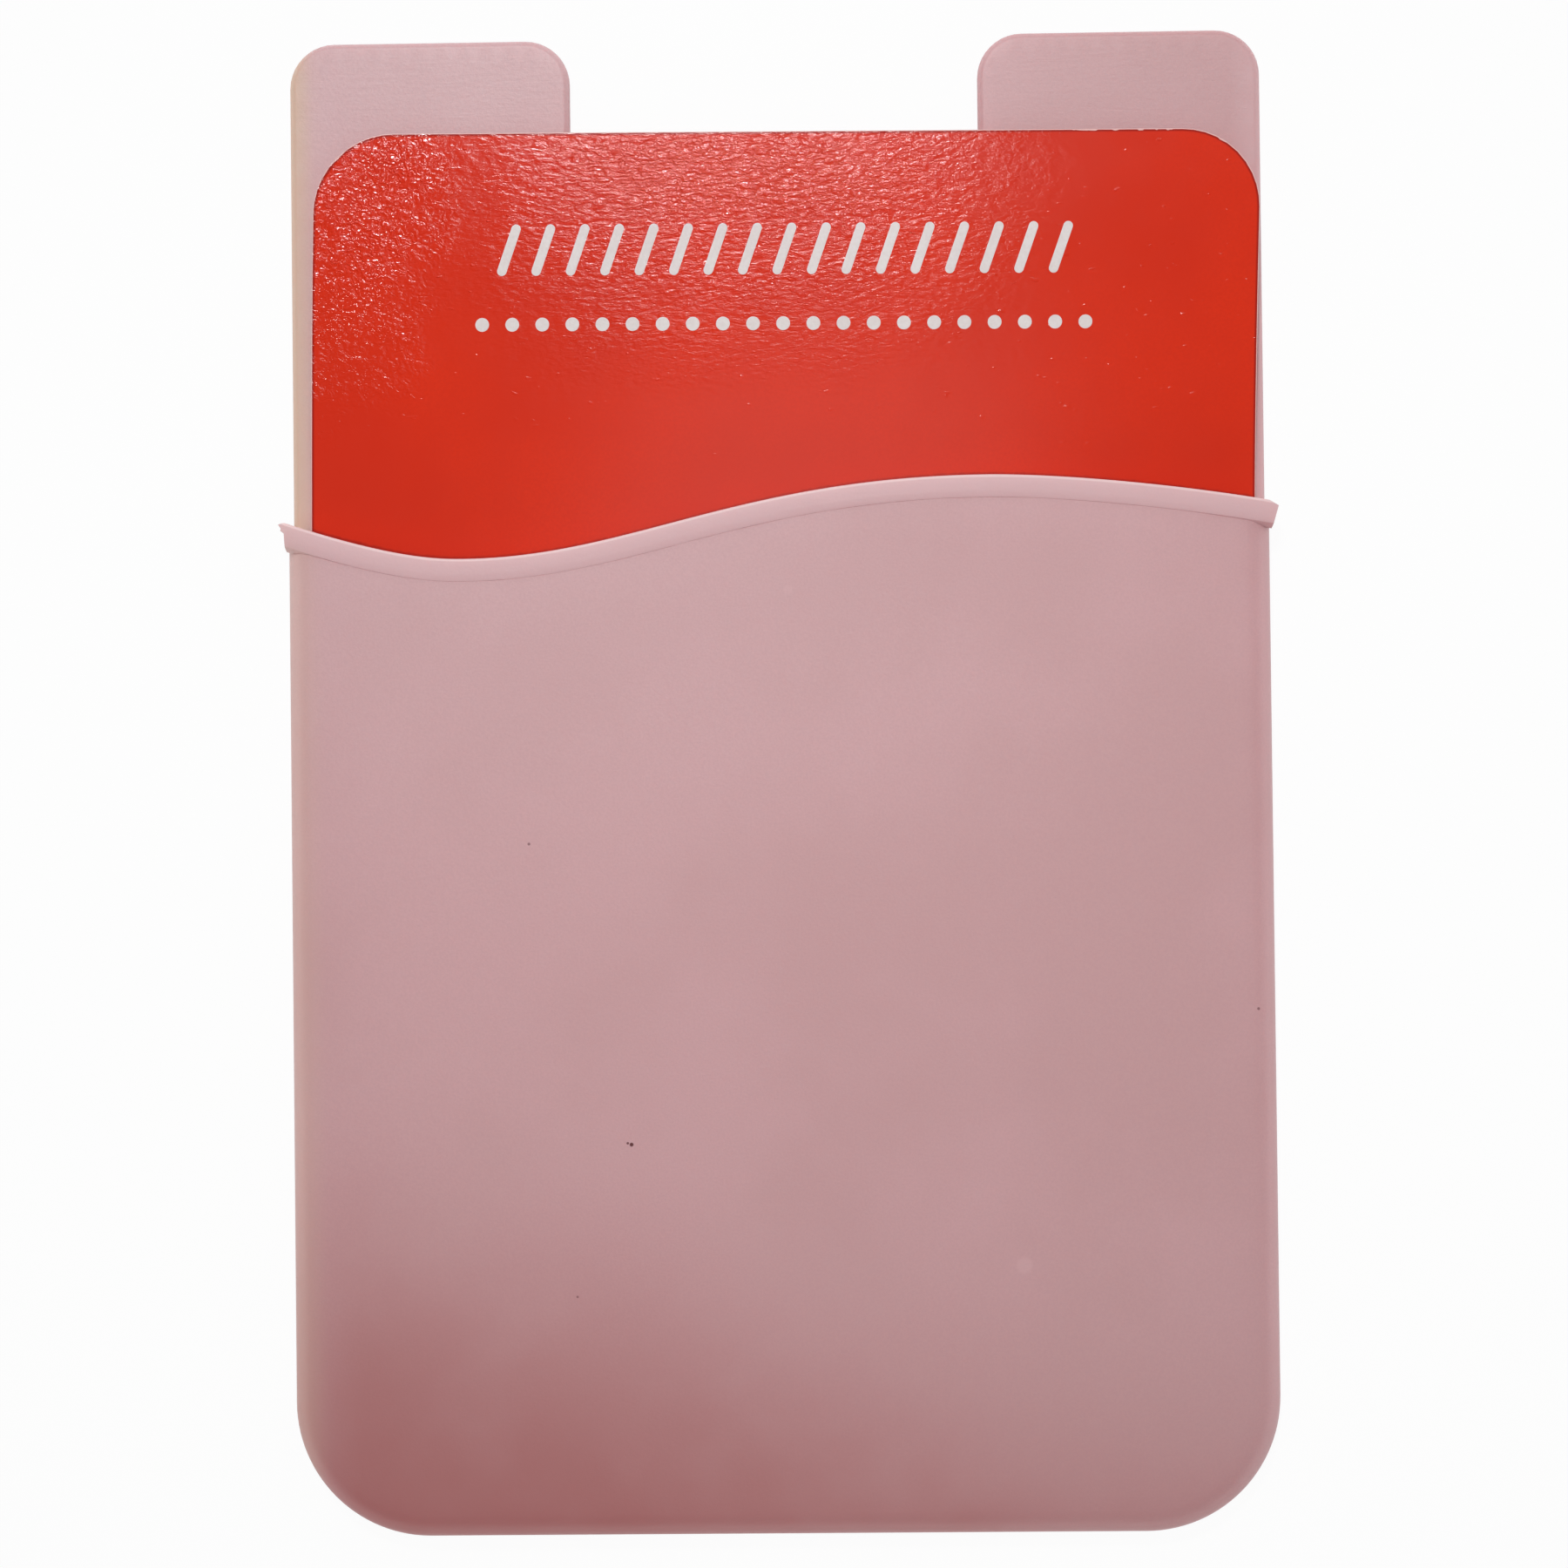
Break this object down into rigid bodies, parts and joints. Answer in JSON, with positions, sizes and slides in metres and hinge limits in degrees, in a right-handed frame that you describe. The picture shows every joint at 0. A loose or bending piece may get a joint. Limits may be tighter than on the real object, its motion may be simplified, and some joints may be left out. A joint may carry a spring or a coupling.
{
  "type": "stick on phone card holder",
  "caption": "Flat silicone pocket with round-cornered ears, a thumb notch and a wavy lipped mouth, holding a printed card, with an adhesive back for a phone.",
  "frame": {"origin": "centre of the holder's outline, on the outer face of the release liner that it lies on", "axes": "+Y from the round-cornered foot to the ears, +Z out of the pocket's front, +X to the right seen from the front"},
  "size_m": [0.0578, 0.087, 0.0032],
  "materials": {
    "silicone": "matte",
    "printed_card": "gloss",
    "adhesive": "satin",
    "liner_paper": "satin"
  },
  "bodies": {
    "root": {"silicone_holder": "silicone", "insert_card": "printed_card", "adhesive_sheet": "adhesive", "release_liner": "liner_paper"}
  },
  "joints": []
}
